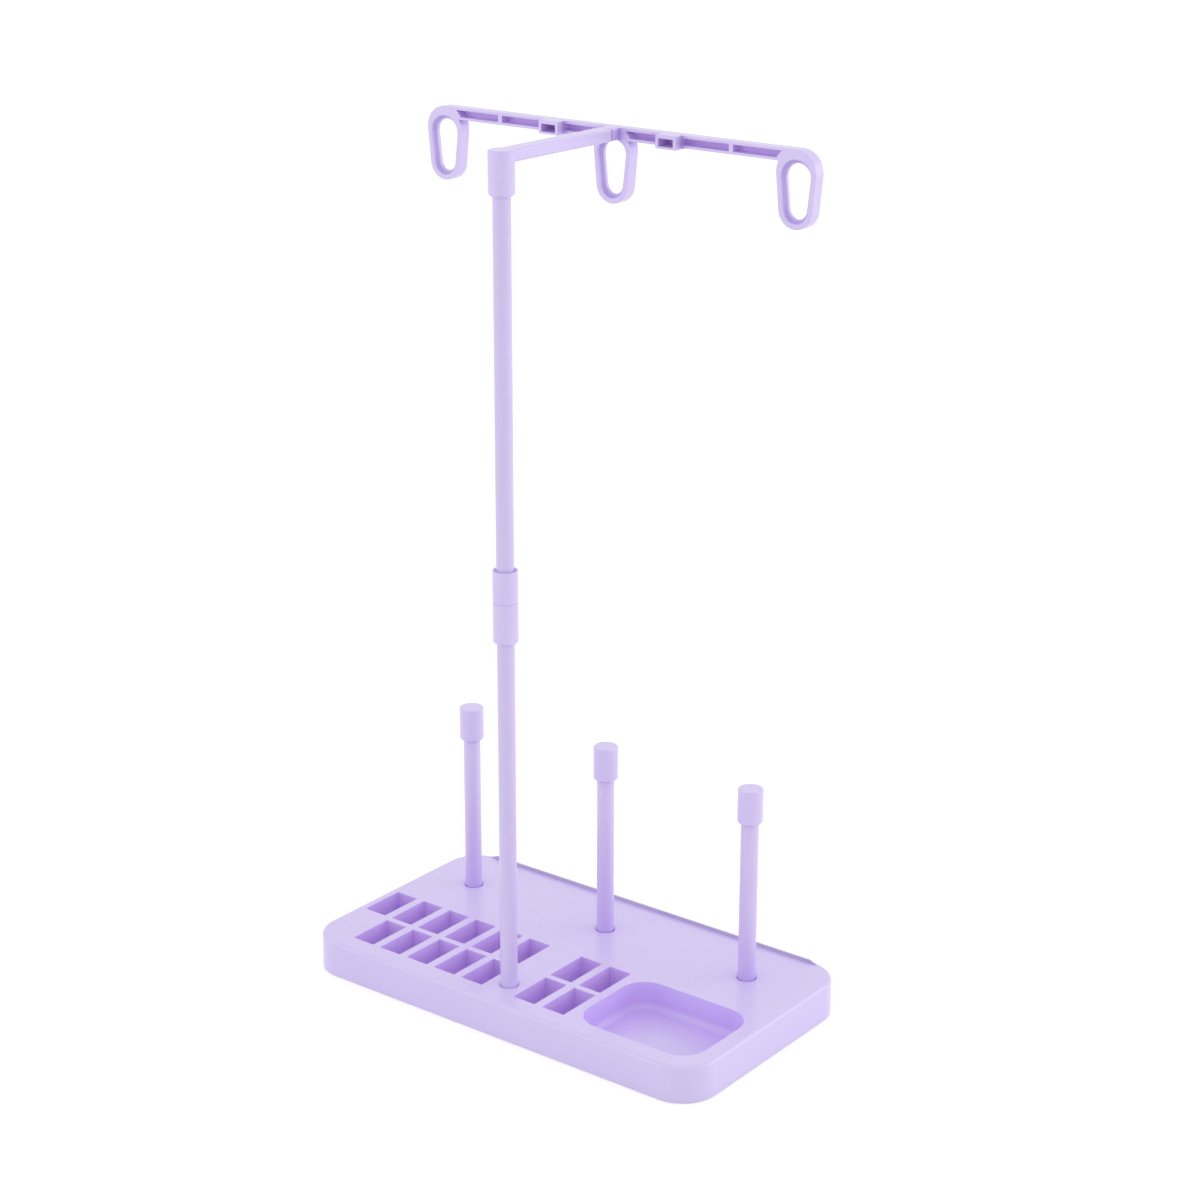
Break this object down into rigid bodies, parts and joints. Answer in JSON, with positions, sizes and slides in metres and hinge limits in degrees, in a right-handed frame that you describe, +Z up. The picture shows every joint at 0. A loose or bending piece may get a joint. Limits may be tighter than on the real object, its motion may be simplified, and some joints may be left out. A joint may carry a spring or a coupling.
{
  "type": "thread cone stand",
  "caption": "Free-standing thread stand: moulded base with bobbin pockets and a notions tray, capped spool pins, and a jointed mast with an arm and a bar of thread loops.",
  "frame": {"origin": "middle of the base's footprint, on the table", "axes": "+Z up along the mast, +X to the right towards the notions tray, +Y to the back, towards the spool pins; the front with the mast faces -Y"},
  "size_m": [0.23, 0.125, 0.4074],
  "materials": {
    "base_plastic": "semi-gloss lilac injection moulding",
    "tube_plastic": "smooth semi-gloss lilac extrusion",
    "collar_plastic": "semi-gloss lilac injection moulding",
    "arm_plastic": "semi-gloss lilac injection moulding",
    "guide_plastic": "semi-gloss lilac injection moulding",
    "pin_plastic": "smooth semi-gloss lilac plastic",
    "cap_plastic": "semi-gloss lilac injection moulding"
  },
  "bodies": {
    "stand_base": {"base": "base_plastic"},
    "lower_mast": {"lower_pole": "tube_plastic", "lower_collar": "collar_plastic"},
    "upper_mast": {"upper_collar": "collar_plastic", "upper_pole": "tube_plastic"},
    "arm": {"top_arm": "arm_plastic"},
    "guide": {"guide_bar": "guide_plastic"},
    "left_spool_pin": {"left_pin": "pin_plastic", "left_cap": "cap_plastic"},
    "middle_spool_pin": {"middle_pin": "pin_plastic", "middle_cap": "cap_plastic"},
    "right_spool_pin": {"right_pin": "pin_plastic", "right_cap": "cap_plastic"}
  },
  "joints": [
    {"name": "mast_swivel", "type": "hinge", "parent": "stand_base", "child": "lower_mast", "pos_m": [-0.0032, -0.0439, 0.018], "axis": [0, 0, 1], "continuous": true},
    {"name": "mast_part", "type": "slide", "parent": "lower_mast", "child": "upper_mast", "axis": [0, 0, 1], "range_m": [0, 0.02]},
    {"name": "arm_swivel", "type": "hinge", "parent": "upper_mast", "child": "arm", "pos_m": [-0.0032, -0.0439, 0.3876], "axis": [0, 0, 1], "continuous": true},
    {"name": "guide_bar_release", "type": "slide", "parent": "arm", "child": "guide", "axis": [0, 1, 0], "range_m": [0, 0.012]},
    {"name": "left_pin_lift", "type": "slide", "parent": "stand_base", "child": "left_spool_pin", "axis": [0, 0, 1], "range_m": [0, 0.02]},
    {"name": "middle_pin_lift", "type": "slide", "parent": "stand_base", "child": "middle_spool_pin", "axis": [0, 0, 1], "range_m": [0, 0.02]},
    {"name": "right_pin_lift", "type": "slide", "parent": "stand_base", "child": "right_spool_pin", "axis": [0, 0, 1], "range_m": [0, 0.02]}
  ]
}
